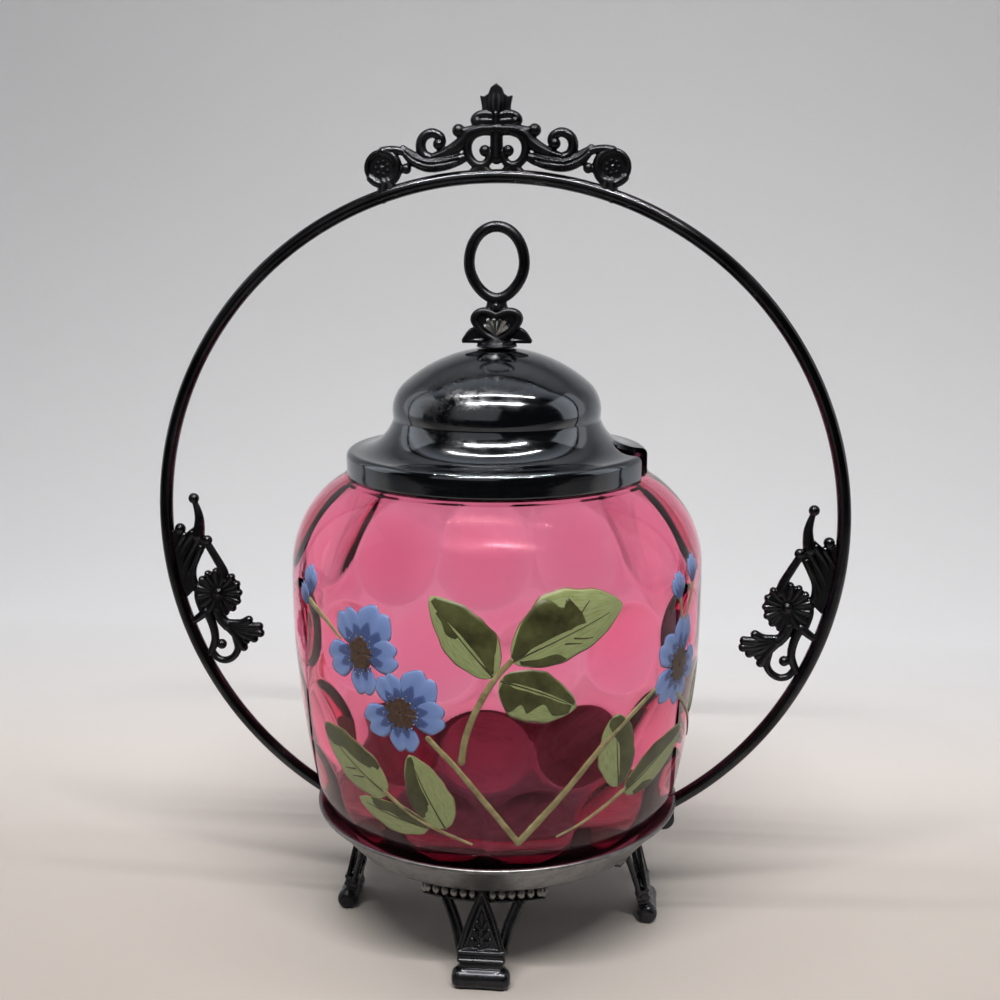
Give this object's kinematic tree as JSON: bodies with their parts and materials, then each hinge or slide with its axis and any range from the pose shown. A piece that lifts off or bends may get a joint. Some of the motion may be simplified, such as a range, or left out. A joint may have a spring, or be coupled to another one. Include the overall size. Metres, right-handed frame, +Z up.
{
  "type": "pickle castor",
  "caption": "Pickle castor: enamelled ruby glass jar with a lift-off domed lid, in a footed silver-plated tray with a tall hoop handle.",
  "frame": {"origin": "on the table, at the middle of the four roll feet", "axes": "+Z up, the hoop handle in the XZ plane, -Y towards the front with the painted flowers, +X towards the lid's spoon notch"},
  "size_m": [0.1752, 0.1036, 0.2119],
  "materials": {
    "silver_plate": "tarnished dark silver plate with worn highlights",
    "ruby_glass": "ruby glass with a thumbprint pattern and painted enamel flowers"
  },
  "bodies": {
    "frame": {"tray_dish": "silver_plate", "handle_hoop": "silver_plate", "hoop_lug_left": "silver_plate", "hoop_lug_right": "silver_plate", "crest_casting": "silver_plate", "side_scroll_left": "silver_plate", "side_scroll_right": "silver_plate", "gallery_front": "silver_plate", "gallery_right": "silver_plate", "gallery_back": "silver_plate", "gallery_left": "silver_plate", "leg_front": "silver_plate", "leg_right": "silver_plate", "leg_back": "silver_plate", "leg_left": "silver_plate"},
    "jar": {"glass_jar": "ruby_glass"},
    "lid": {"lid_shell": "silver_plate", "finial": "silver_plate", "finial_stud": "silver_plate", "finial_washer": "silver_plate", "finial_nut": "silver_plate"}
  },
  "joints": [
    {"name": "jar_lift_out", "type": "slide", "parent": "frame", "child": "jar", "axis": [0, -0.5592, 0.829], "range_m": [0, 0.16]},
    {"name": "lid_lift_off", "type": "slide", "parent": "jar", "child": "lid", "axis": [0, -0.5592, 0.829], "range_m": [0, 0.13]}
  ]
}
